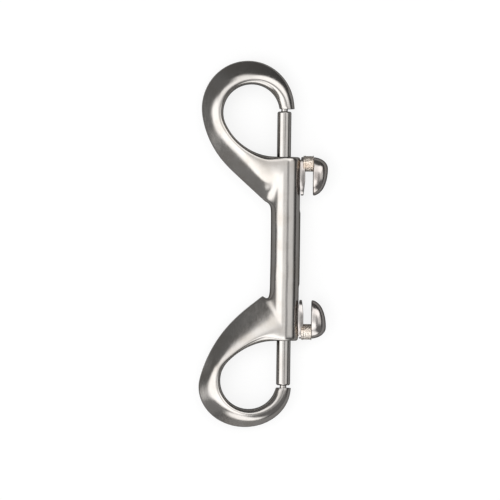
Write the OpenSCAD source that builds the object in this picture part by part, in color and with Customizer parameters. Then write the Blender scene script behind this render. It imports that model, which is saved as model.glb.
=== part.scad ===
// Double-ended bolt snap: one barrel with a hook at each end. Each hook is
// closed by a spring-loaded bolt, drawn back by a thumb stud in a side slot.
// It lies flat: the barrel runs along Y, the hooks point to -X, the studs to +X.

/* [Barrel] */
// Outer diameter of the barrel
barrel_d = 8; // [7.4:0.1:9]
// Length of the barrel from mouth to mouth
barrel_l = 50; // [46:0.2:60]
// Rounding of the barrel's mouths
mouth_round = 0.8; // [0.4:0.1:1]
// Wall left between the two spring bores
web_t = 2; // [1:0.1:3]

/* [Hooks] */
// Diameter of the round end of each eye
eye_d = 15.4; // [13:0.1:18]
// Width of the nose where it meets the bolt
nose_w = 4.1; // [3.8:0.1:5]
// Width of the metal at the side of the eye
side_w = 5.9; // [5:0.1:7.5]
// Thickness of the nose across the plane of the hook
nose_t = 4.4; // [3.6:0.1:5]
// Thickness of the hook at the side of the eye
hook_t = 6.8; // [5.6:0.1:7]
// Distance of the ridge from the inner edge of the hook
ridge_w = 1.2; // [0.9:0.1:1.8]
// Slope of the flank just behind the ridge
ridge_a = 8; // [4:1:12]
// Share of the flank that the rounding over the ridge takes up
crest_share = 0.65; // [0.3:0.05:0.9]
// Rounding of the hook's outer edge
edge_r = 0.7; // [0.4:0.1:1]
// Depth of the hook's face below the top of the barrel, at its root
root_in = 0.2; // [0.1:0.05:0.4]

/* [Upper hook] */
// Gate between the barrel's mouth and the nose
upper_gate = 13; // [12:0.1:14.5]
// Height of the eye's centre above the mouth
upper_eye_h = 12; // [11.4:0.1:13]
// Width of the metal over the top of the eye
upper_crown_w = 6.4; // [5:0.1:8]
// Length of the hook's root along the barrel
upper_root_l = 13.7; // [12.6:0.1:15]
// Slope of the hook's back where it runs into the barrel
upper_leg_a = 42; // [38:0.5:46]
// Direction in which the back faces where the crown meets the leg
upper_side_a = 190; // [182:1:198]
// Angle at which the round eye opens into its long side
upper_blend_a = 205; // [200:1:215]
// Distance from the barrel at which the tail of the back is trimmed
upper_tail_w = 1.7; // [0.5:0.1:2.5]
// Slope of the trimmed tail, rising towards the mouth
upper_tail_a = -25; // [-30:5:40]

/* [Lower hook] */
// Gate between the barrel's mouth and the nose
lower_gate = 12.8; // [11.8:0.1:14]
// Height of the eye's centre above the mouth
lower_eye_h = 11.1; // [10.6:0.1:12]
// Width of the metal over the top of the eye
lower_crown_w = 4.9; // [4.4:0.1:7]
// Length of the hook's root along the barrel
lower_root_l = 13.7; // [12.6:0.1:15]
// Slope of the hook's back where it runs into the barrel
lower_leg_a = 38.5; // [37:0.5:46]
// Direction in which the back faces where the crown meets the leg
lower_side_a = 194; // [182:1:198]
// Angle at which the round eye opens into its long side
lower_blend_a = 222; // [212:1:226]
// Distance from the barrel at which the tail of the back is trimmed
lower_tail_w = 2; // [0.5:0.1:2.5]
// Slope of the trimmed tail, rising towards the mouth
lower_tail_a = 35; // [-30:5:40]

/* [Bolts] */
// Diameter of the bolts
bolt_d = 3.8; // [3.5:0.05:4.2]
// Running clearance around a bolt in its bore
bolt_fit = 0.06; // [0.03:0.01:0.1]
// Offset of the upper bore from the barrel's axis
upper_bore_x = -0.7; // [-0.9:0.1:0]
// Offset of the lower bore from the barrel's axis
lower_bore_x = -0.1; // [-0.9:0.1:0]
// Gap between a bolt's shoulder and the nose
shoulder_gap = 0.7; // [0.4:0.1:1]
// Chamfer around a bolt's shoulder
bolt_chamfer = 0.35; // [0.1:0.05:0.5]
// Diameter of the pilot on the bolt's tip
pilot_d = 1.8; // [1.4:0.1:2.2]
// Depth to which the pilot enters the nose
pilot_in = 0.5; // [0.3:0.1:0.8]
// Play around and before the pilot in the nose
pilot_fit = 0.15; // [0.1:0.05:0.3]
// Length of bolt behind the stud's peg
bolt_tail = 4; // [3:0.1:5]
// Depth at which the peg ends below the far side of the bolt
peg_below = 0.3; // [0.2:0.05:0.6]

/* [Thumb studs] */
// Diameter of the peg that joins the stud to the bolt
peg_d = 2.2; // [1.8:0.1:2.4]
// Clearance of the pressed peg in the bolt
press_fit = 0.01; // [0.01:0.005:0.02]
// Side clearance of the peg in the barrel's slot
slot_fit = 0.15; // [0.1:0.05:0.25]
// Travel of the upper stud along its slot
upper_travel = 12.2; // [10:0.1:13]
// Travel of the lower stud along its slot
lower_travel = 11.7; // [10:0.1:13]
// Diameter of the stem between foot and head
stem_d = 4.2; // [3.6:0.1:4.6]
// Reach of the upper stem past the barrel's mouth
upper_stem_over = 0.3; // [-1:0.1:0.6]
// Reach of the lower stem past the barrel's mouth
lower_stem_over = -0.4; // [-1:0.1:0.6]
// Length of the head and of the foot along the barrel
head_l = 10.5; // [9.4:0.1:11.6]
// Distance of the head and foot behind the stem's outer side
head_back = 0.25; // [0:0.05:0.5]
// Width of the head across the slot
head_w = 6.4; // [5:0.1:7.4]
// Height of the head over its flat underside
head_h = 4.05; // [3:0.05:4.6]
// Width of the foot across the slot
foot_w = 4.8; // [4.2:0.1:5.4]
// Thickness of the foot over the slot
foot_t = 1.05; // [0.8:0.05:1.3]
// Thickness left at the foot's far tip
foot_tip_t = 0.4; // [0.3:0.05:0.6]
// Running clearance between foot and barrel
foot_fit = 0.1; // [0.05:0.05:0.2]
// Free height of the stem between foot and head
neck_h = 2.15; // [1.6:0.05:2.6]
// Squareness of the head and foot seen from outside, 2 for an oval
stud_square = 2.4; // [2:0.1:3]

/* [Springs] */
// Diameter of the spring wire
wire_d = 0.45; // [0.35:0.05:0.5]
// Outer diameter of the springs
spring_d = 3.5; // [3.2:0.1:3.6]
// Number of turns, the closed end turns included
turns = 10; // [8:1:11]
// Gap between the wires of a closed end turn
turn_gap = 0.05; // [0.02:0.01:0.1]
// Gap between a spring's ends and its seats
seat_gap = 0.05; // [0.02:0.01:0.1]

/* [Hidden] */
$fn = 64;

barrel_r = barrel_d / 2;
mouth_y = barrel_l / 2;
eye_r = eye_d / 2;
bore_d = bolt_d + 2 * bolt_fit;
foot_x = barrel_r + foot_fit; // underside of the foot
neck_x = foot_x + foot_t;     // outer face of the foot
head_x = neck_x + neck_h;     // flat underside of the head
flush = 0.05;                 // edge of the eye, this far behind the mouth's face
root_x = -0.6;                // the hooks' roots end here, inside the barrel
over = 1;                     // how far a cutting solid runs past the metal
nose_share = 0.9;             // crest_share at the nose, whose section is nearly round
wall_share = 0.8;             // most of the height that the rounding at the eye takes up

// Steps along a hook: nose to side, side to leg, leg to root
nose_steps = 26;
leg_steps = 7;
root_steps = 10;
// Steps around a section: from the eye's wall to the ridge, over the ridge, around the outer edge
eye_flank_steps = 4;
crest_steps = 5;
edge_steps = 3;

// What differs between the two ends
upper = [upper_gate, upper_eye_h, upper_crown_w, upper_root_l, upper_leg_a, upper_blend_a,
         upper_bore_x, upper_travel, upper_side_a, upper_tail_w, upper_tail_a, upper_stem_over];
lower = [lower_gate, lower_eye_h, lower_crown_w, lower_root_l, lower_leg_a, lower_blend_a,
         lower_bore_x, lower_travel, lower_side_a, lower_tail_w, lower_tail_a, lower_stem_over];
function gate(e) = e[0];
function eye_h(e) = e[1];
function crown_w(e) = e[2];
function root_l(e) = e[3];
function back_a(e) = 270 - e[4]; // direction that the sloping back faces
function blend_a(e) = e[5];
function bore_x(e) = e[6];
function travel(e) = e[7];
function side_a(e) = e[8];
function tail_w(e) = e[9];
function tail_a(e) = e[10];
function stem_over(e) = e[11];
function peg_in(e) = stem_d / 2 - stem_over(e); // peg's axis, measured inward from the mouth

// Edge of the eye. In the plane of a hook, x runs across the barrel from its
// axis and y outward from the mouth. The round end opens into one long arc
// that comes down level with the mouth.
function ray(a) = [cos(a), sin(a)];
function nose_a(e) = asin((gate(e) - eye_h(e)) / eye_r);
function eye_c(e) = [-nose_w / 2 - eye_r * cos(nose_a(e)), eye_h(e)];
function long_r(e) =
    let (s = -sin(blend_a(e)))
    (eye_h(e) + flush - eye_r * s) / (1 - s);
function long_c(e) = eye_c(e) + (eye_r - long_r(e)) * ray(blend_a(e));
function eye_edge(e, a) =
    a < blend_a(e) ? eye_c(e) + eye_r * ray(a) : long_c(e) + long_r(e) * ray(a);
function eye_root(e, x) =
    let (dx = min(x - long_c(e)[0], 0))
    [x, long_c(e)[1] - sqrt(pow(long_r(e), 2) - dx * dx)];

// Back of the hook: an ellipse from the nose over the eye, an arc down the
// leg, and a straight slope into the barrel.
function left_x(e) = eye_c(e)[0] - eye_r - side_w;
function top_y(e) = eye_h(e) + eye_r + crown_w(e);
function crown_rx(e) = (nose_w / 2 - left_x(e)) / 2;
function crown_ry(e) = top_y(e) - gate(e);
function crown_end(e) = 180 + atan(crown_ry(e) / crown_rx(e) * tan(side_a(e)));
function crown_back(e, a) =
    [left_x(e) + crown_rx(e) * (1 + cos(a)), gate(e) + crown_ry(e) * sin(a)];
function leg_r(e) =
    let (n = ray(back_a(e)), root = [-barrel_r, -root_l(e)], side = crown_back(e, crown_end(e)))
    n * (root - side) / (1 - n * ray(side_a(e)));
function leg_back(e, a) =
    crown_back(e, crown_end(e)) + leg_r(e) * (ray(a) - ray(side_a(e)));
function root_back(e, t) =
    let (start = leg_back(e, back_a(e)), down = [-sin(back_a(e)), cos(back_a(e))])
    start + down * t * (root_x - start[0]) / down[0];

// Section of a hook: a wall rises from the edge of the eye and rounds over to
// the ridge, an arc turns over it, and a straight flank runs down to the outer
// edge. That arc's radius is a share of the one that would reach to the edge.
function turned(a) = [sin(a), cos(a)]; // straight up, turned towards the back by a
function full_r(reach, h, edge, lean) =
    (reach * reach + h * h - edge * edge) / (2 * (h * cos(lean) - edge - reach * sin(lean)));
function half_section(w, ridge, h, edge, lean, share) =
    let (
        rise = min(ridge, wall_share * h),
        crest = share * full_r(w - ridge - edge, h, edge, lean),
        crest_c = [ridge, h] - crest * turned(lean),
        edge_c = [w - edge, 0],
        gap = edge_c - crest_c,
        slope = atan2(-gap[1], gap[0]) + asin((crest - edge) / norm(gap))
    )
    concat(
        [[0, 0]],
        [for (i = [0 : eye_flank_steps - 1])
            let (s = 90 * i / eye_flank_steps)
            [ridge * (1 - cos(s)), h - rise * (1 - sin(s))]],
        [for (i = [0 : crest_steps])
            crest_c + crest * turned(lean + (slope - lean) * i / crest_steps)],
        [for (i = [0 : edge_steps])
            edge_c + edge * turned(slope + (90 - slope) * i / edge_steps)]);
function section(from, to, ridge, t, edge, lean, share) =
    let (
        w = norm(to - from),
        across = (to - from) / w,
        upper_half = half_section(w, ridge, t / 2, edge, lean, share),
        last = len(upper_half) - 1,
        loop = concat(upper_half,
                      [for (i = [last - 1 : -1 : 1]) [upper_half[i][0], -upper_half[i][1]]])
    )
    [for (p = loop) [from[0] + across[0] * p[0], from[1] + across[1] * p[0], p[1]]];

// Sections from the nose to the root
function ease(a, b, t) = a + (b - a) * (3 * t * t - 2 * t * t * t);
function nose_section(e, t) =
    let (
        start = nose_a(e),
        a = start + (side_a(e) - start) * t,
        grow = min(1, 1.6 * t),
        nose_edge = 0.4 * min(nose_w, nose_t)
    )
    section(eye_edge(e, a), crown_back(e, crown_end(e) * t),
            ease(nose_w / 2, ridge_w, grow), ease(nose_t, hook_t, grow),
            ease(nose_edge, edge_r, grow), ease(0, ridge_a, grow), ease(nose_share, crest_share, grow));
function leg_section(e, t) =
    let (a = side_a(e) + (back_a(e) - side_a(e)) * t)
    section(eye_edge(e, a), leg_back(e, a), ridge_w, hook_t, edge_r, ridge_a, crest_share);
function root_section(e, t) =
    let (x = eye_edge(e, back_a(e))[0] * (1 - t) + root_x * t)
    section(eye_root(e, x), root_back(e, t),
            ease(ridge_w, 2 * ridge_w, t), ease(hook_t, barrel_d - 2 * root_in, t),
            edge_r, ease(ridge_a, ridge_a / 2, t), crest_share);
function hook_sections(e) = concat(
    [for (i = [0 : nose_steps]) nose_section(e, i / nose_steps)],
    [for (i = [1 : leg_steps]) leg_section(e, i / leg_steps)],
    [for (i = [1 : root_steps]) root_section(e, i / root_steps)]);

// Skin over a row of closed sections that have the same number of points
module skin(sections) {
    n = len(sections[0]);
    rows = len(sections);
    points = [for (s = sections) each s];
    first_cap = [[for (i = [0 : n - 1]) i]];
    last_cap = [[for (i = [n - 1 : -1 : 0]) (rows - 1) * n + i]];
    sides = [for (r = [0 : rows - 2], i = [0 : n - 1])
        let (a = r * n + i, b = r * n + (i + 1) % n)
        each [[a, a + n, b], [b, a + n, b + n]]];
    polyhedron(points, concat(first_cap, sides, last_cap), convexity = 10);
}

// Places one end's pieces: y = 0 becomes that end's mouth
module at_end(e) {
    if (e == upper) translate([0, mouth_y, 0]) children();
    else mirror([0, 1, 0]) translate([0, mouth_y, 0]) children();
}

// Rests the snap on z = 0 with its box centred over the origin
module placed() {
    x_low = min(left_x(upper), left_x(lower));
    x_high = head_x + head_h;
    translate([-(x_low + x_high) / 2, (top_y(lower) - top_y(upper)) / 2, barrel_r]) children();
}

module rod_y(d, from, to) {
    translate([0, from, 0]) rotate([-90, 0, 0]) cylinder(d = d, h = to - from);
}

module barrel() {
    r = mouth_round;
    rod_y(barrel_d, -mouth_y + r, mouth_y - r);
    rod_y(barrel_d - 2 * r, -mouth_y, mouth_y);
    for (y = [-mouth_y + r, mouth_y - r])
        translate([0, y, 0])
            rotate([-90, 0, 0])
                rotate_extrude() translate([barrel_r - r, 0]) circle(r = r, $fn = 32);
}

// Trims the tail of the back, where it would run into the barrel
module tail_cut(e) {
    slope = tan(back_a(e) - 270);
    start = [-barrel_r - tail_w(e), -root_l(e) - tail_w(e) * slope];
    end = start + tail_w(e) * [1, tan(tail_a(e))];
    low_y = -root_l(e) - over;
    translate([0, 0, -barrel_r])
        linear_extrude(height = barrel_d)
            polygon([start, end, [end[0], low_y], [start[0], low_y]]);
}

// Bore of the bolt and its spring, with the recess in the nose
module bore(e) {
    translate([bore_x(e), 0, 0]) {
        rod_y(bore_d, -mouth_y + web_t / 2, over);
        rod_y(pilot_d + 2 * pilot_fit, gate(e) - over, gate(e) + pilot_in + pilot_fit);
    }
}
// Slot of the stud's peg, open at the mouth
module slot(e) {
    w = peg_d + 2 * slot_fit;
    end_y = -peg_in(e) - travel(e) - slot_fit;
    translate([bore_x(e), end_y, -w / 2]) cube([barrel_d, over - end_y, w]);
    translate([bore_x(e), end_y, 0]) rotate([0, 90, 0]) cylinder(d = w, h = barrel_d);
}

module body() {
    color("silver") placed() difference() {
        union() {
            barrel();
            at_end(upper) skin(hook_sections(upper));
            at_end(lower) skin(hook_sections(lower));
        }
        for (e = [upper, lower]) at_end(e) {
            tail_cut(e);
            bore(e);
            slot(e);
        }
    }
}

module bolt(e) {
    shoulder_y = gate(e) - shoulder_gap;
    tip_d = bolt_d - 2 * bolt_chamfer;
    color("gainsboro") placed() at_end(e) difference() {
        translate([bore_x(e), 0, 0]) {
            rod_y(bolt_d, -peg_in(e) - bolt_tail, shoulder_y - bolt_chamfer);
            translate([0, shoulder_y - bolt_chamfer, 0])
                rotate([-90, 0, 0]) cylinder(d1 = bolt_d, d2 = tip_d, h = bolt_chamfer);
            rod_y(pilot_d, shoulder_y - over, gate(e) + pilot_in);
        }
        translate([bore_x(e) - bolt_d, -peg_in(e), 0])
            rotate([0, 90, 0]) cylinder(d = peg_d + 2 * press_fit, h = 2 * bolt_d);
    }
}

// Head of the stud: a flat-bottomed dome, highest near the mouth's end and
// drawn out to a low tip, built up from oval slices
function oval(front, back, w, squareness) = [for (a = [0 : 10 : 350])
    [w / 2 * sign(sin(a)) * pow(abs(sin(a)), 2 / squareness),
     (front + back) / 2 + (back - front) / 2 * sign(cos(a)) * pow(abs(cos(a)), 2 / squareness)]];
module stud_head() {
    peak = 0.3 * head_l; // distance of the highest point from the mouth's end
    rim = 0.2;           // share of the height that stands straight
    hull() for (q = [0, 0.2, 0.4, 0.6, 0.75, 0.88, 0.97]) {
        front = -peak + peak * sqrt(1 - q * q);
        back = -peak - (head_l - peak) * pow(1 - pow(q, 1.7), 1 / 1.7);
        w = head_w * sqrt(1 - pow(max(0, q - rim) / (1 - rim), 2));
        translate([head_x + q * head_h, 0, 0])
            rotate([0, 90, 0])
                mirror([1, 0, 0])
                    linear_extrude(height = 0.03 * head_h) polygon(oval(front, back, w, stud_square));
    }
}

// Foot of the stud: a saddle over the slot, thinning towards its far tip
module stud_foot() {
    tip_y = -head_l;
    difference() {
        translate([barrel_r / 2, 0, 0]) rotate([0, 90, 0]) mirror([1, 0, 0])
            linear_extrude(height = neck_x - barrel_r / 2)
                polygon(oval(0, tip_y, foot_w, stud_square));
        rod_y(2 * foot_x, -head_l - over, over);
        translate([neck_x - foot_tip_t, tip_y - over, -foot_w])
            rotate([0, 0, atan((foot_t - foot_tip_t) / (head_l - stem_d))])
                translate([-barrel_d, 0, 0]) cube([barrel_d, head_l - stem_d + over, 2 * foot_w]);
    }
}

module thumb_stud(e) {
    peg_x = bore_x(e) - bolt_d / 2 + peg_below;
    color("gainsboro") placed() at_end(e) {
        translate([peg_x, -peg_in(e), 0])
            rotate([0, 90, 0]) cylinder(d = peg_d, h = neck_x - peg_x);
        translate([neck_x - foot_t / 2, -peg_in(e), 0])
            rotate([0, 90, 0]) cylinder(d = stem_d, h = neck_h + foot_t);
        translate([0, stem_over(e) - head_back, 0]) {
            stud_foot();
            stud_head();
        }
    }
}

// Compression spring with one closed turn at each end
function spring_y(n, length) =
    let (closed = wire_d + turn_gap, free = (length - wire_d - 2 * closed) / (turns - 2))
    n < 1 ? n * closed
    : n > turns - 1 ? length - wire_d - (turns - n) * closed
    : closed + (n - 1) * free;
module spring(e) {
    length = mouth_y - web_t / 2 - peg_in(e) - bolt_tail - 2 * seat_gap;
    steps = 16; // steps in one turn
    sides = 6;  // sides of the wire
    mean_r = (spring_d - wire_d) / 2;
    rings = [for (i = [0 : steps * turns])
        let (a = 360 * i / steps, y = wire_d / 2 + spring_y(i / steps, length))
        [for (j = [0 : sides - 1])
            let (b = 360 * j / sides, r = mean_r + wire_d / 2 * cos(b))
            [r * cos(a), y + wire_d / 2 * sin(b), r * sin(a)]]];
    color("darkgray") placed() at_end(e)
        translate([bore_x(e), -mouth_y + web_t / 2 + seat_gap, 0]) skin(rings);
}

module upper_bolt() { bolt(upper); }
module lower_bolt() { bolt(lower); }
module upper_thumb_stud() { thumb_stud(upper); }
module lower_thumb_stud() { thumb_stud(lower); }
module upper_spring() { spring(upper); }
module lower_spring() { spring(lower); }

body();
upper_bolt();
upper_thumb_stud();
upper_spring();
lower_bolt();
lower_thumb_stud();
lower_spring();
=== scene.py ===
from math import asin, atan, atan2, copysign, cos, degrees, pi, radians, sin, sqrt, tan

import bmesh
import bpy
from mathutils import Matrix, Vector


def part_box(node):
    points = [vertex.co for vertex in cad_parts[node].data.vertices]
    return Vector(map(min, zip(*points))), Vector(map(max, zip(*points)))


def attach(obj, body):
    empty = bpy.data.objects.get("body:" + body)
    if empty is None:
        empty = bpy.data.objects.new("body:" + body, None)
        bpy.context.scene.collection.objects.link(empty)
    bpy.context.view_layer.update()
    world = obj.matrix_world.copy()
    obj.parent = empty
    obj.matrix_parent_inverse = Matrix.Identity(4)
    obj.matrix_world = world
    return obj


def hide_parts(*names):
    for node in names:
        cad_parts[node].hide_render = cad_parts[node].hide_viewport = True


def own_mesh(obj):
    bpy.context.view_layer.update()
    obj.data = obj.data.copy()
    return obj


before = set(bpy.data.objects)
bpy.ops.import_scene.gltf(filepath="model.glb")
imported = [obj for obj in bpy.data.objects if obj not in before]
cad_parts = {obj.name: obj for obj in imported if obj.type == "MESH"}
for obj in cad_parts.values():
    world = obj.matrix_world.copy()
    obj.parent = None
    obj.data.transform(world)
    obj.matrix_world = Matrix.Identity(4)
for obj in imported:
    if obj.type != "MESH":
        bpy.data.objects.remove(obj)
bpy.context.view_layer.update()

# Camera: looks straight down on the snap, turned a little, so that the barrel
# leans to the right at its top. The view is 136 mm wide at the barrel's axis.
mm = 0.001
view_width = 136.05
view_x, view_y = -3.62, -1.66
view_height = 1000
view_turn = radians(0.776)

sensor_width = 36
view_end = 10000
barrel_r = 4

lens_data = bpy.data.cameras.new("camera")
lens_data.sensor_width = sensor_width
lens_data.lens = sensor_width * (view_height - barrel_r) / view_width
lens_data.clip_end = view_end * mm
camera = bpy.data.objects.new("camera", lens_data)
camera.location = (view_x * mm, view_y * mm, view_height * mm)
camera.rotation_euler = (0, 0, view_turn)
bpy.context.scene.collection.objects.link(camera)
bpy.context.scene.camera = camera
bpy.context.scene.view_settings.view_transform = "Standard"


# Studio: a dark dome with soft panels and dark flags in it. Each is placed by the
# lean of the steel that shows it to the camera: how far that steel's normal leans
# east and north. Those later in the list hide the earlier ones.
back_level, back_east, back_north = 0.12, -0.08, -0.03
panel_blur = 0.3
PANELS = [
    # east, north, half its width and length, turn, level
    (0.25, 0, 0.28, 0.20, 0, 0.92),       # east fill
    (0.20, 0.20, 0.25, 0.14, 0.1, 1.8),    # north-east softbox
    (0, -0.50, 0.28, 0.17, 0, 1.7),        # south softbox
    (-0.10, 0.20, 0.20, 0.20, 0, 1.5),     # north softbox
    (-0.05, -0.05, 0.20, 0.16, 0, 0.95),   # overhead fill
    (-0.38, -0.08, 0.20, 0.24, 0, 1.85),   # west softbox
    (-0.05, -0.18, 0.26, 0.13, 0, 1.95),   # key light, near overhead
    (0.13, -0.05, 0.08, 0.14, 0, 0.42),    # the dark camera
    (-0.45, 0.33, 0.30, 0.12, -0.1, 0.16),   # north-west flag
    (-0.45, -0.38, 0.20, 0.12, 0.1, 0.25),   # south-west flag
    (0.35, -0.30, 0.30, 0.22, -0.1, 0.18),   # south-east flag
]


def value(nodes, links, operation, *inputs, clamp=False):
    node = nodes.new("ShaderNodeMath")
    node.operation = operation
    node.use_clamp = clamp
    for socket, given in zip(node.inputs, inputs):
        if isinstance(given, (int, float)):
            socket.default_value = given
        else:
            links.new(given, socket)
    return node.outputs[0]


def fade(nodes, links, given, start, end):
    """0 at start, 1 at end, smooth between them."""
    node = nodes.new("ShaderNodeMapRange")
    node.interpolation_type = "SMOOTHSTEP"
    links.new(given, node.inputs["Value"])
    node.inputs["From Min"].default_value = start
    node.inputs["From Max"].default_value = end
    return node.outputs["Result"]


world = bpy.data.worlds.new("studio")
world.use_nodes = True
bpy.context.scene.world = world
nodes, links = world.node_tree.nodes, world.node_tree.links
nodes.clear()
direction = nodes.new("ShaderNodeTexCoord")
halfway = nodes.new("ShaderNodeVectorMath")
halfway.inputs[1].default_value = (0, 0, 1)
links.new(direction.outputs["Generated"], halfway.inputs[0])
normal = nodes.new("ShaderNodeVectorMath")
normal.operation = "NORMALIZE"
links.new(halfway.outputs[0], normal.inputs[0])
flat = nodes.new("ShaderNodeVectorMath")
flat.operation = "MULTIPLY"
flat.inputs[1].default_value = (1, 1, 0)
links.new(normal.outputs[0], flat.inputs[0])
axes = nodes.new("ShaderNodeSeparateXYZ")
links.new(flat.outputs[0], axes.inputs[0])
east, north = axes.outputs[:2]
level = value(nodes, links, "MULTIPLY_ADD", north, back_north,
              value(nodes, links, "MULTIPLY_ADD", east, back_east, back_level))
for panel_x, panel_y, width, length, turn, panel_level in PANELS:
    panel = nodes.new("ShaderNodeMapping")
    panel.vector_type = "TEXTURE"
    panel.inputs["Location"].default_value = (panel_x, panel_y, 0)
    panel.inputs["Rotation"].default_value = (0, 0, turn)
    panel.inputs["Scale"].default_value = (width, length, 1)
    links.new(flat.outputs[0], panel.inputs["Vector"])
    reach = nodes.new("ShaderNodeVectorMath")
    reach.operation = "LENGTH"
    links.new(panel.outputs[0], reach.inputs[0])
    shown = fade(nodes, links, reach.outputs["Value"], 1 + panel_blur, 1 - panel_blur)
    more = value(nodes, links, "SUBTRACT", panel_level, level)
    level = value(nodes, links, "MULTIPLY_ADD", more, shown, level)
light = nodes.new("ShaderNodeBackground")
links.new(level, light.inputs["Color"])
links.new(light.outputs[0], nodes.new("ShaderNodeOutputWorld").inputs[0])

# Floor: pale paper. Most of what the camera sees of it is plain white, the rest
# keeps the snap's shadow. Steel sees it greyer, lit by the studio.
floor_half = 4000
white_glow, mirror_glow = 0.8, 0.2
white_grey, steel_grey = 0.24, 0.14
bm = bmesh.new()
bmesh.ops.create_grid(bm, x_segments=1, y_segments=1, size=floor_half * mm)
floor_mesh = bpy.data.meshes.new("floor")
bm.to_mesh(floor_mesh)
bm.free()
floor = bpy.data.objects.new("floor", floor_mesh)
bpy.context.scene.collection.objects.link(floor)
paper = bpy.data.materials.new("white_paper")
paper.use_nodes = True
nodes, links = paper.node_tree.nodes, paper.node_tree.links
nodes.clear()
path = nodes.new("ShaderNodeLightPath").outputs
seen = path["Is Camera Ray"]
mirrored = value(nodes, links, "ADD", path["Is Glossy Ray"], path["Is Transmission Ray"], clamp=True)
grey = value(nodes, links, "MULTIPLY_ADD", seen, white_grey - steel_grey, steel_grey)
mirrored_glow = value(nodes, links, "MULTIPLY", mirrored, mirror_glow)
strength = value(nodes, links, "MULTIPLY_ADD", seen, white_glow, mirrored_glow)
soft = nodes.new("ShaderNodeBsdfDiffuse")
links.new(grey, soft.inputs["Color"])
glow = nodes.new("ShaderNodeEmission")
links.new(strength, glow.inputs["Strength"])
both = nodes.new("ShaderNodeAddShader")
links.new(soft.outputs[0], both.inputs[0])
links.new(glow.outputs[0], both.inputs[1])
links.new(both.outputs[0], nodes.new("ShaderNodeOutputMaterial").inputs[0])
floor_mesh.materials.append(paper)

# Body: one stainless casting, a barrel with a hook at each end, ground to a ridge
# around each eye and polished. It is grown from the barrel's rings: each hook is
# drawn ring by ring out of the barrel's side, then the bores and slots are cut.
barrel_l = 50
mouth_r = 3.2
web_t = 2
eye_r, eye_past_mouth = 7.7, 0.05
side_w = 5.9
hook_t = 6.8
ridge_w, ridge_rise = 1.2, 0.8
ridge_a = radians(8)
crest_share = 0.65
edge_r = 0.7
root_in, root_wall = 0.2, 0.5
nose_w, nose_t, nose_share = 4.1, 4.4, 0.9
nose_edge, nose_grow = 1.64, 1.6
bolt_r, bolt_fit = 1.9, 0.06
peg_r, slot_fit = 1.1, 0.15
pilot_r, pilot_in, pilot_fit = 0.9, 0.5, 0.15
stem_r = 2.1
HOOKS = {
    "upper": dict(gate=13, eye_h=12, crown_w=6.4, root_l=13.7, leg=42, side=190, blend=205,
                  tail_w=1.7, tail=-25, tail_sharp=0.5, shoulder=6, bore_x=-0.7, travel=12.2, over=0.3,
                  turn=1),
    "lower": dict(gate=12.8, eye_h=11.1, crown_w=4.9, root_l=13.7, leg=38.5, side=194, blend=222,
                  tail_w=2, tail=35, tail_sharp=0.9, shoulder=0, bore_x=-0.1, travel=11.7, over=-0.4,
                  turn=-1),
}
mouth_y = barrel_l / 2
body_high = Vector(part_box("body")[1]) / mm
axis_x = body_high.x - barrel_r
middle_y = body_high.y - mouth_y - HOOKS["upper"]["eye_h"] - eye_r - HOOKS["upper"]["crown_w"]


def ray(a):
    return Vector((cos(radians(a)), sin(radians(a))))


def ease(a, b, t):
    return a + (b - a) * (3 * t * t - 2 * t * t * t)


class Outline:
    """The two edges of one hook: x across from the barrel's axis, y out from its mouth."""

    def __init__(self, gate, eye_h, crown_w, root_l, leg, side, blend, tail_w, tail, shoulder,
                 **other):
        self.nose_a = degrees(asin((gate - eye_h) / eye_r))
        self.eye_c = Vector((-nose_w / 2 - eye_r * cos(radians(self.nose_a)), eye_h))
        self.side, self.blend, self.back, self.shoulder = side, blend, 270 - leg, shoulder
        s = -sin(radians(blend))
        self.long_r = (eye_h + eye_past_mouth - eye_r * s) / (1 - s)
        self.long_c = self.eye_c + (eye_r - self.long_r) * ray(blend)
        self.left_x = self.eye_c.x - eye_r - side_w
        self.crown_rx = (nose_w / 2 - self.left_x) / 2
        self.gate = gate
        self.crown_ry = eye_h + eye_r + crown_w - gate
        self.crown_end = 180 + degrees(atan(self.crown_ry / self.crown_rx * tan(radians(side))))
        self.leg_start = self.crown(self.crown_end)
        normal = ray(self.back)
        root_end = Vector((-barrel_r, -root_l))
        self.leg_r = normal.dot(root_end - self.leg_start) / (1 - normal.dot(ray(side)))
        self.tail_x = -barrel_r - tail_w
        self.tail_y = self.leg_root(self.tail_x).y + tail_w * tan(radians(tail))

    def inner(self, a):
        if a < self.blend:
            return self.eye_c + eye_r * ray(a)
        return self.long_c + self.long_r * ray(a)

    def inner_root(self, x):
        dx = min(x - self.long_c.x, 0)
        return Vector((x, self.long_c.y - sqrt(self.long_r ** 2 - dx * dx)))

    def crown(self, a):
        return Vector((self.left_x + self.crown_rx * (1 + cos(radians(a))),
                       self.gate + self.crown_ry * sin(radians(a))))

    def leg(self, a):
        return self.leg_start + self.leg_r * (ray(a) - ray(self.side))

    def leg_root(self, x):
        start = self.leg(self.back)
        down = Vector((-sin(radians(self.back)), cos(radians(self.back))))
        return start + down * (x - start.x) / down.x


wall_steps, ridge_steps, back_steps, rim_steps = 3, 6, 3, 5


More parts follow.
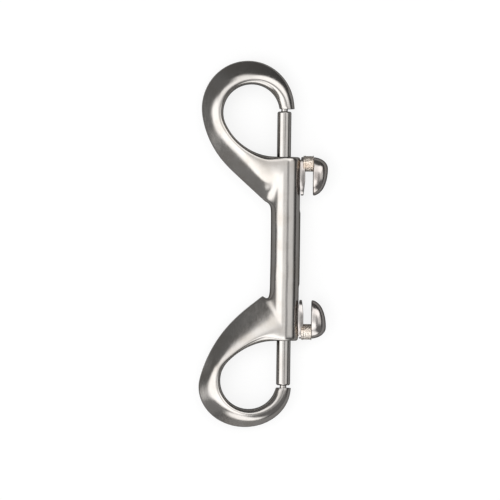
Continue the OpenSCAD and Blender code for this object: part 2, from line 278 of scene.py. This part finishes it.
def flank(width, ridge, thick, edge, lean, share, shoulder=0):
    """The upper half of a hook's section, from the eye's wall over the ridge to the back: (across, up)."""
    half = thick / 2
    reach = width - ridge - shoulder - edge
    low = half - shoulder * tan(lean)
    rise = min(ridge, ridge_rise * half)
    crest = share * (reach ** 2 + low ** 2 - edge ** 2) / 2
    crest /= low * cos(lean) - edge - reach * sin(lean)
    crest_c = Vector((ridge + shoulder, low)) - crest * Vector((sin(lean), cos(lean)))
    edge_c = Vector((width - edge, 0))
    gap = edge_c - crest_c
    slope = atan2(-gap.y, gap.x) + asin((crest - edge) / gap.length)
    points = [Vector((0, (half - rise) * k / wall_steps)) for k in range(wall_steps)]
    for k in range(ridge_steps):
        turn = pi / 2 * k / ridge_steps
        points.append(Vector((ridge * (1 - cos(turn)), half - rise * (1 - sin(turn)))))
    points += [crest_c + crest * Vector((sin(t), cos(t))) for t in (lean, (lean + slope) / 2, slope)]
    rim = []
    for k in range(rim_steps + 1):
        turn = slope + (pi / 2 - slope) * k / rim_steps
        rim.append(edge_c + edge * Vector((sin(turn), cos(turn))))
    points += [points[-1].lerp(rim[0], k / back_steps) for k in range(1, back_steps)]
    return points + rim


def ring_places(inner, outer, half):
    """A closed ring of places round a section: up over the top of the hook and back underneath."""
    across = (outer - inner).normalized()
    top = [Vector((inner.x + across.x * u, inner.y + across.y * u, z)) for u, z in half]
    return top + [Vector((p.x, p.y, -p.z)) for p in top[-2:0:-1]]


root_steps, leg_steps, crown_steps = 4, 5, 18


def hook_rings(lines):
    """Rings of one hook from its root, next to the barrel, to the tip of its nose."""
    rings = []
    start = lines.inner(lines.back)
    back_x = lines.leg(lines.back).x
    for i in range(root_steps, 0, -1):
        t = i / root_steps
        outer = lines.leg_root(back_x + (lines.tail_x - back_x) * t)
        inner = lines.inner_root(start.x + (-barrel_r - root_wall - start.x) * t)
        near = (inner.x - start.x) / (-start.x)
        ridge = ease(ridge_w, 2 * ridge_w, near)
        thick = ease(hook_t, 2 * (barrel_r - root_in), near)
        lean = ease(ridge_a, ridge_a / 2, near)
        shoulder = ease(0, lines.shoulder, near)
        half = flank((outer - inner).length, ridge, thick, edge_r, lean, crest_share, shoulder)
        rings.append(ring_places(inner, outer, half))
    for i in range(leg_steps, -1, -1):
        a = lines.side + (lines.back - lines.side) * i / leg_steps
        inner, outer = lines.inner(a), lines.leg(a)
        half = flank((outer - inner).length, ridge_w, hook_t, edge_r, ridge_a, crest_share)
        rings.append(ring_places(inner, outer, half))
    for i in range(crown_steps - 1, -1, -1):
        t = i / crown_steps
        a = lines.nose_a + (lines.side - lines.nose_a) * t
        inner, outer = lines.inner(a), lines.crown(lines.crown_end * t)
        grow = min(1, nose_grow * t)
        ridge = ease(nose_w / 2, ridge_w, grow)
        thick = ease(nose_t, hook_t, grow)
        edge = ease(nose_edge, edge_r, grow)
        lean = ease(0, ridge_a, grow)
        share = ease(nose_share, crest_share, grow)
        half = flank((outer - inner).length, ridge, thick, edge, lean, share)
        rings.append(ring_places(inner, outer, half))
    return rings


def extrude_ring(bm, ring, places):
    """Extrudes a closed ring of vertices and puts the new ring at the places given."""
    edges = [bm.edges.get((a, b)) for a, b in zip(ring, ring[1:] + ring[:1])]
    grown = {item for item in bmesh.ops.extrude_edge_only(bm, edges=edges)["geom"]
             if isinstance(item, bmesh.types.BMVert)}
    fresh = [next(e.other_vert(v) for e in v.link_edges if e.other_vert(v) in grown) for v in ring]
    for vert, place in zip(fresh, places):
        vert.co = place
    return fresh


def loft(rings):
    """A closed solid through rings of places, with its rings of vertices."""
    bm = bmesh.new()
    ring = bmesh.ops.create_circle(bm, segments=len(rings[0]), radius=1)["verts"]
    for vert, place in zip(ring, rings[0]):
        vert.co = place
    grown = [list(ring)]
    for places in rings[1:]:
        grown.append(extrude_ring(bm, grown[-1], places))
    for ring in (grown[0], grown[-1]):
        bmesh.ops.contextual_create(bm, geom=ring)
    return bm, grown


merge_within = 0.001
fine_steps = 64
small_steps = 32


def turned(stations, steps=fine_steps):
    """A closed solid turned around Y, with the radii given at stations along it."""
    bm = bmesh.new()
    profile = [(stations[0][0], 0), *stations, (stations[-1][0], 0)]
    verts = [bm.verts.new((r, y, 0)) for y, r in profile]
    edges = [bm.edges.new(pair) for pair in zip(verts, verts[1:])]
    bmesh.ops.spin(bm, geom=verts + edges, cent=(0, 0, 0), axis=(0, 1, 0), angle=2 * pi, steps=steps,
                   use_merge=True)
    bmesh.ops.remove_doubles(bm, verts=bm.verts, dist=merge_within)
    return bm


def crease(bm, ring, first, last, sharp):
    """Holds the edges between vertices first to last of a ring sharp when it is subdivided."""
    layer = bm.edges.layers.float.get("crease_edge") or bm.edges.layers.float.new("crease_edge")
    for k in range(first, last):
        bm.edges.get((ring[k % len(ring)], ring[(k + 1) % len(ring)]))[layer] = sharp


sharp_from = radians(36)


def make_piece(name, bm, level=0, cutters=()):
    """The solid as an object: subdivided, cut, and smooth apart from its sharp edges."""
    piece, *tools = [bpy.data.objects.new(title, bpy.data.meshes.new(title))
                     for title in [name] + ["cutter"] * len(cutters)]
    for thing, solid in zip([piece] + tools, [bm, *cutters]):
        bmesh.ops.recalc_face_normals(solid, faces=solid.faces)
        solid.to_mesh(thing.data)
        solid.free()
        bpy.context.scene.collection.objects.link(thing)
    smooth = piece.modifiers.new("smooth", "SUBSURF")
    smooth.levels = smooth.render_levels = level
    for tool in tools:
        piece.modifiers.new("cut", "BOOLEAN").object = tool
    shape = bpy.data.meshes.new_from_object(piece.evaluated_get(bpy.context.evaluated_depsgraph_get()))
    piece.modifiers.clear()
    bare, piece.data = piece.data, shape
    for mesh in [bare] + [tool.data for tool in tools]:
        bpy.data.meshes.remove(mesh)
    shape.name = name
    bm = bmesh.new()
    bm.from_mesh(shape)
    for face in bm.faces:
        face.smooth = True
    for edge in bm.edges:
        edge.smooth = edge.calc_face_angle(0) < sharp_from
    bm.to_mesh(shape)
    bm.free()
    return piece


cloud_scale, line_scale, wave_scale = 170, 2600, 210
cloud_start, cloud_full = 0.4, 0.68
line_low, line_high = 0.3, 0.7
rim_tint = 0.05


def steel(name, tone, dull, rough, grain, lines, waves):
    """Steel with clouds in its tone, fine lines from the polishing wheel and a faint unevenness."""
    material = bpy.data.materials.new(name)
    material.use_nodes = True
    nodes, links = material.node_tree.nodes, material.node_tree.links
    shader = nodes["Principled BSDF"]
    shader.inputs["Metallic"].default_value = 1
    shader.inputs["Specular Tint"].default_value = (rim_tint, rim_tint, rim_tint, 1)
    place = nodes.new("ShaderNodeTexCoord").outputs["Object"]

    def noise(scale, detail, stretch=(1, 1, 1)):
        mapping = nodes.new("ShaderNodeMapping")
        mapping.inputs["Scale"].default_value = stretch
        links.new(place, mapping.inputs["Vector"])
        texture = nodes.new("ShaderNodeTexNoise")
        texture.inputs["Scale"].default_value = scale
        texture.inputs["Detail"].default_value = detail
        links.new(mapping.outputs[0], texture.inputs["Vector"])
        return texture.outputs["Fac"]

    cloud = noise(cloud_scale, 4)
    line = noise(line_scale, 3, grain)
    wave = noise(wave_scale, 2)
    mix = nodes.new("ShaderNodeMix")
    mix.data_type = "RGBA"
    mix.inputs[6].default_value = (*tone, 1)
    mix.inputs[7].default_value = (*dull, 1)
    links.new(fade(nodes, links, cloud, cloud_start, cloud_full), mix.inputs[0])
    links.new(mix.outputs[2], shader.inputs["Base Color"])
    spread = nodes.new("ShaderNodeMapRange")
    links.new(line, spread.inputs["Value"])
    for socket, given in zip(("From Min", "From Max", "To Min", "To Max"), (line_low, line_high, *rough)):
        spread.inputs[socket].default_value = given
    links.new(spread.outputs["Result"], shader.inputs["Roughness"])
    scratches = value(nodes, links, "MULTIPLY", line, lines)
    height = value(nodes, links, "MULTIPLY_ADD", wave, waves, scratches)
    bump = nodes.new("ShaderNodeBump")
    bump.inputs["Distance"].default_value = mm
    links.new(height, bump.inputs["Height"])
    links.new(bump.outputs[0], shader.inputs["Normal"])
    return material


# The barrel's rings, from the lower mouth to the upper one. Near a hook the
# columns at its root close in on the hook's flank as they leave the mouth.
right_columns, left_columns = 8, 5
half_columns = right_columns + left_columns
mouth_stations = [(0, mouth_r), (-0.12, barrel_r - 0.26), (-0.65, barrel_r)]
root_top = -2
root_rows = 7
depth = len(mouth_stations) + root_rows
tail_spread, mouth_spread = 38, 76
widen_from, widen_over = -9, 6
plain_spread = 75
plain_stations = [(-16, 50), (-20, plain_spread)]


def root_stations(lines):
    """From the mouth to the root's tail: y, radius, and how far round the root's edge lies from the side."""
    places = mouth_stations[:]
    for k in range(root_rows):
        places.append((root_top + (lines.tail_y - root_top) * k / (root_rows - 1), barrel_r))
    stations = []
    for y, r in places:
        widen = min(1, max(0, (y - widen_from) / widen_over))
        stations.append((y, r, tail_spread + (mouth_spread - tail_spread) * widen))
    return stations


def barrel_ring(y, r, spread):
    """A ring of the barrel's cage, a little outside it, so that the subdivided barrel has about radius r."""
    right = (180 - spread) / right_columns
    half = [right * i for i in range(right_columns)]
    half += [180 - spread + spread * i / left_columns for i in range(left_columns + 1)]
    angles = half + [360 - a for a in half[-2:0:-1]]
    hull = r / ((4 + 2 * cos(radians(right))) / 6)
    return [Vector((hull * cos(radians(a)), y, hull * sin(radians(a)))) for a in angles]


outlines = {name: Outline(**hook) for name, hook in HOOKS.items()}
lower_half = [(-mouth_y - y, r, s) for y, r, s in root_stations(outlines["lower"])]
lower_half += [(-mouth_y - y, barrel_r, s) for y, s in plain_stations]
upper_half = [(mouth_y + y, barrel_r, s) for y, s in reversed(plain_stations)]
upper_half += [(mouth_y + y, r, s) for y, r, s in reversed(root_stations(outlines["upper"]))]
stations = lower_half + [(0, barrel_r, plain_spread)] + upper_half
bm, barrel = loft([barrel_ring(*station) for station in stations])

columns = 2 * half_columns
tail_from, tail_to = 14, 24
tip_sharp = 0.75
bore_chamfer, pit_chamfer = 0.2, 0.15
cut_over = 0.05  # how far outside a face its cut's chamfer ends
cut_past = 1  # how far a cutter reaches outside the face
cutters = []
for name, hook in HOOKS.items():
    turn = hook["turn"]
    rows = barrel[::-1] if turn > 0 else barrel
    first, last = right_columns, columns - right_columns
    inside = {v for row in rows[:depth] for v in row[first:last + 1]}
    patch = [f for f in bm.faces if len(f.verts) == 4 and inside.issuperset(f.verts)]
    bmesh.ops.delete(bm, geom=patch, context="FACES")
    top = [rows[0][k] for k in range(half_columns, first, -1)]
    top += [rows[j][first] for j in range(depth)]
    top += [rows[depth - 1][k] for k in range(first + 1, half_columns + 1)]
    under = [rows[depth - 1][k] for k in range(half_columns + 1, last)]
    under += [rows[j][last] for j in range(depth - 1, -1, -1)]
    under += [rows[0][k] for k in range(last - 1, half_columns, -1)]
    ring = top + under
    grown = [ring]
    for places in hook_rings(outlines[name]):
        places = [Vector((p.x, turn * (mouth_y + p.y), p.z)) for p in places]
        grown.append(extrude_ring(bm, grown[-1], places))
    bmesh.ops.contextual_create(bm, geom=grown[-1])
    crease(bm, grown[1], tail_from, tail_to, hook["tail_sharp"])
    crease(bm, grown[-1], 0, len(ring), tip_sharp)

    # The bore and the pilot's recess, each with a chamfered mouth, and the peg's slot
    gate = hook["gate"]
    bore_r = bolt_r + bolt_fit
    bore_mouth_r = bore_r + bore_chamfer
    bore = turned([(web_t / 2 - mouth_y, bore_r), (cut_over - bore_chamfer, bore_r), (cut_over, bore_mouth_r),
                   (cut_past, bore_mouth_r)])
    pit_r = pilot_r + pilot_fit
    pit_mouth_r = pit_r + pit_chamfer
    pit = turned([(gate - cut_past, pit_mouth_r), (gate - cut_over, pit_mouth_r),
                  (gate - cut_over + pit_chamfer, pit_r), (gate + pilot_in + pilot_fit, pit_r)], small_steps)
    slot = bmesh.new()
    slot_end = hook["over"] - stem_r - hook["travel"]
    bmesh.ops.create_circle(slot, segments=small_steps, radius=peg_r + slot_fit,
                            matrix=Matrix.Rotation(pi / 2, 4, "Y"))
    for vert in slot.verts:
        vert.co.y += slot_end if vert.co.y < 0 else cut_past
    rim = bmesh.ops.contextual_create(slot, geom=slot.edges[:])["faces"]
    wall = bmesh.ops.extrude_face_region(slot, geom=rim)["geom"]
    wall_verts = [item for item in wall if isinstance(item, bmesh.types.BMVert)]
    bmesh.ops.translate(slot, vec=(2 * barrel_r, 0, 0), verts=wall_verts)
    for cutter in (bore, pit, slot):
        bmesh.ops.translate(cutter, vec=(hook["bore_x"], mouth_y, 0), verts=cutter.verts)
        bmesh.ops.scale(cutter, vec=(1, turn, 1), verts=cutter.verts)
        cutters.append(cutter)

body = make_piece("snap_casting", bm, 2, cutters)
body.data.transform(Matrix.Diagonal((mm, mm, mm, 1)) @ Matrix.Translation((axis_x, middle_y, barrel_r)))
body.data.materials.append(steel("polished_steel", tone=(0.58, 0.555, 0.53), dull=(0.53, 0.497, 0.46),
                                 rough=(0.12, 0.2), grain=(1, 0.08, 1), lines=0.007, waves=0.03))
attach(body, "snap_body")
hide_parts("body")

# Bolts: turned steel rods that slide in the barrel's bores and close the gates.
# Each ends in a chamfered shoulder and a thin pilot, which enters the hook's nose.
bolt_tail = 4
shoulder_gap = 0.7
bolt_chamfer, tail_chamfer = 0.35, 0.3
chamfer_crown_y, chamfer_crown_r = 0.12, 0.15
pilot_fillet, pilot_chamfer = 0.1, 0.15
hold = 0.05


def seat(piece, turn):
    """Moves a piece made in millimetres, with y out from a mouth, to that end of the barrel."""
    piece.data.transform(Matrix.Diagonal((mm, mm, mm, 1)) @ Matrix.Translation((axis_x, middle_y, barrel_r))
                         @ Matrix.Diagonal((1, turn, 1, 1)) @ Matrix.Translation((0, mouth_y, 0)))
    if turn < 0:
        piece.data.flip_normals()


turned_steel = steel("turned_steel", tone=(0.58, 0.555, 0.53), dull=(0.54, 0.51, 0.48), rough=(0.1, 0.18),
                     grain=(1, 0.1, 1), lines=0.004, waves=0.012)
for name, hook in HOOKS.items():
    foot_y = hook["over"] - stem_r - bolt_tail
    shoulder_y = hook["gate"] - shoulder_gap
    chamfer_y = shoulder_y - bolt_chamfer
    tip_y = hook["gate"] + pilot_in
    bm = turned([(foot_y, bolt_r - tail_chamfer), (foot_y + tail_chamfer, bolt_r),
                 (foot_y + tail_chamfer + hold, bolt_r), (chamfer_y - hold, bolt_r), (chamfer_y, bolt_r),
                 (shoulder_y - chamfer_crown_y, bolt_r - chamfer_crown_r),
                 (shoulder_y, bolt_r - bolt_chamfer), (shoulder_y, pilot_r + pilot_fillet),
                 (shoulder_y + pilot_fillet, pilot_r),
                 (tip_y - pilot_chamfer, pilot_r), (tip_y, pilot_r - pilot_chamfer)])
    bmesh.ops.translate(bm, vec=(hook["bore_x"], 0, 0), verts=bm.verts)
    bolt = make_piece(name + "_bolt_rod", bm)
    seat(bolt, hook["turn"])
    bolt.data.materials.append(turned_steel)
    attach(bolt, name + "_latch")
    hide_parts(name + "_bolt")

# Thumb studs: each is a peg pressed into its bolt, a saddle-shaped foot that runs
# on the barrel, a stem and a domed head, drawn out to a low tip for the thumb.
foot_fit, foot_t, foot_tip_t, foot_w = 0.1, 1.05, 0.4, 3.4
foot_edge, foot_bevel = 0.7, 0.2
neck_h = 2.15
head_l, head_w, head_h, head_back = 10.5, 6.4, 4.05, 0.25
stud_square = 2.4
head_peak = 0.3
head_curve = 2.1
head_flat = 0.35
under_inset, rim_inset, rim_round = 1.6, 0.25, 0.02
rim_low, rim_high = 0.12, 0.4
head_levels = (0.2, 0.4, 0.6, 0.75, 0.88, 0.96, 0.995)
stem_fillet, stem_sink, stem_hold = 0.12, 0.02, 0.15
stem_in_head, stem_spread = 0.1, 0.2
peg_below, peg_chamfer = 0.3, 0.15
foot_x = barrel_r + foot_fit
neck_x = foot_x + foot_t
head_x = neck_x + neck_h
oval_points = 28
groove_steps, stem_steps = 96, 48


def oval(x, front, back, width):
    """An oval ring across X, from front to back along Y."""
    ring = []
    for k in range(oval_points):
        turn = 2 * pi * k / oval_points
        along, across = (copysign(abs(c) ** (2 / stud_square), c) for c in (cos(turn), sin(turn)))
        ring.append(Vector((x, (front + back) / 2 + (front - back) / 2 * along, width / 2 * across)))
    return ring


def head_ring(q, x=None, inset=0):
    """The head's outline at q of its height, highest near the mouth and drawn out behind."""
    peak = head_peak * head_l
    front = -peak + peak * sqrt(1 - q * q)
    back = -peak - (head_l - peak) * (1 - q ** head_curve) ** (1 / head_curve)
    width = head_w * sqrt(1 - (max(0, q - head_flat) / (1 - head_flat)) ** 2)
    return oval(head_x + q * head_h if x is None else x, front - inset, back + inset, width - 2 * inset)


stud_steel = steel("stud_steel", tone=(0.58, 0.55, 0.53), dull=(0.53, 0.48, 0.45), rough=(0.1, 0.2),
                   grain=(1, 0.3, 1), lines=0.006, waves=0.03)
# The stem's tone is far brighter and warmer than the head's steel: a painted sheen for the warm sparkle it
# shows. Its rougher, scratched finish is its own.
stem_steel_painted_sheen = steel("stem_steel_painted_sheen", tone=(0.95, 0.88, 0.8), dull=(0.8, 0.66, 0.54), rough=(0.2, 0.4),
                   grain=(1, 1, 1), lines=0.3, waves=0.3)
for name, hook in HOOKS.items():
    peg_y = hook["over"] - stem_r
    shift = (0, hook["over"] - head_back, 0)
    underside = [head_ring(0, inset=under_inset), head_ring(0, inset=rim_inset)]
    rim = [head_ring(0, head_x + rim_low, rim_round), head_ring(0, head_x + rim_high)]
    head = loft(underside + rim + [head_ring(q) for q in head_levels])[0]
    foot = loft([oval(x, 0, -head_l, foot_w) for x in (barrel_r / 2, neck_x)])[0]
    slope = (foot_t - foot_tip_t) / (head_l - 2 * stem_r)
    bmesh.ops.bisect_plane(foot, geom=foot.verts[:] + foot.edges[:] + foot.faces[:], clear_outer=True,
                           plane_co=(neck_x - foot_tip_t, -head_l, 0), plane_no=(1, -slope, 0))
    bmesh.ops.holes_fill(foot, edges=[e for e in foot.edges if e.is_boundary])
    corners = [e for e in foot.edges if e.calc_face_angle(0) > foot_edge and e.verts[0].co.x > foot_x]
    bmesh.ops.bevel(foot, geom=corners, offset=foot_bevel, segments=3, affect="EDGES", profile=0.5,
                    material=-1)
    bmesh.ops.translate(head, vec=shift, verts=head.verts)
    bmesh.ops.translate(foot, vec=shift, verts=foot.verts)
    groove = turned([(-head_l - cut_past, foot_x), (cut_past, foot_x)], groove_steps)
    post = turned([(neck_x - foot_t / 2, stem_r), (neck_x + stem_sink, stem_r + stem_fillet),
                   (neck_x + stem_hold, stem_r), (head_x - stem_hold, stem_r),
                   (head_x + stem_in_head, stem_r + stem_spread)], stem_steps)
    peg_end = hook["bore_x"] - bolt_r + peg_below
    peg = turned([(peg_end, peg_r - peg_chamfer), (peg_end + peg_chamfer, peg_r),
                  (neck_x - foot_t / 2, peg_r)], small_steps)
    for rod in (post, peg):
        bmesh.ops.rotate(rod, matrix=Matrix.Rotation(-pi / 2, 3, "Z"), verts=rod.verts)
        bmesh.ops.translate(rod, vec=(0, peg_y, 0), verts=rod.verts)
    pieces = [(make_piece(name + "_stud_head", head, 2), stud_steel),
              (make_piece(name + "_stud_foot", foot, 0, [groove]), stud_steel),
              (make_piece(name + "_stud_stem", post), stem_steel_painted_sheen),
              (make_piece(name + "_stud_peg", peg), stud_steel)]
    for piece, finish in pieces:
        seat(piece, hook["turn"])
        piece.data.materials.append(finish)
        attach(piece, name + "_latch")
        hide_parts(name + "_thumb_stud")

# Springs: ten turns of drawn wire, closed at both ends, between the web in the
# middle of the barrel and the foot of each bolt. They shorten as the bolt is drawn.
wire_d, spring_d, turns, turn_gap, seat_gap = 0.45, 3.5, 10, 0.05, 0.05
wire_points, turn_steps = 10, 20
spring_steel = steel("spring_wire", tone=(0.5, 0.5, 0.49), dull=(0.4, 0.39, 0.38), rough=(0.2, 0.3),
                     grain=(1, 1, 1), lines=0.01, waves=0.02)
for name, hook in HOOKS.items():
    low_y = web_t / 2 - mouth_y + seat_gap
    length = hook["over"] - stem_r - bolt_tail - seat_gap - low_y
    closed = wire_d + turn_gap
    free = (length - wire_d - 2 * closed) / (turns - 2)
    bm = bmesh.new()
    place = Matrix.Translation(((spring_d - wire_d) / 2, low_y + wire_d / 2, 0))
    ring = bmesh.ops.create_circle(bm, segments=wire_points, radius=wire_d / 2, matrix=place)["verts"]
    ends = [ring]
    geometry = ring + bm.edges[:]
    for count, pitch in ((1, closed), (turns - 2, free), (1, closed)):
        geometry = bmesh.ops.spin(bm, geom=geometry, cent=(0, 0, 0), axis=(0, 1, 0), angle=2 * pi * count,
                                  dvec=(0, pitch / turn_steps, 0), steps=count * turn_steps)["geom_last"]
    ends.append([item for item in geometry if isinstance(item, bmesh.types.BMVert)])
    for ring in ends:
        bmesh.ops.contextual_create(bm, geom=ring)
    bmesh.ops.translate(bm, vec=(hook["bore_x"], 0, 0), verts=bm.verts)
    spring = make_piece(name + "_spring_coil", bm)
    seat(spring, hook["turn"])
    spring.data.materials.append(spring_steel)
    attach(spring, "snap_body")
    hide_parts(name + "_spring")
    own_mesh(spring)
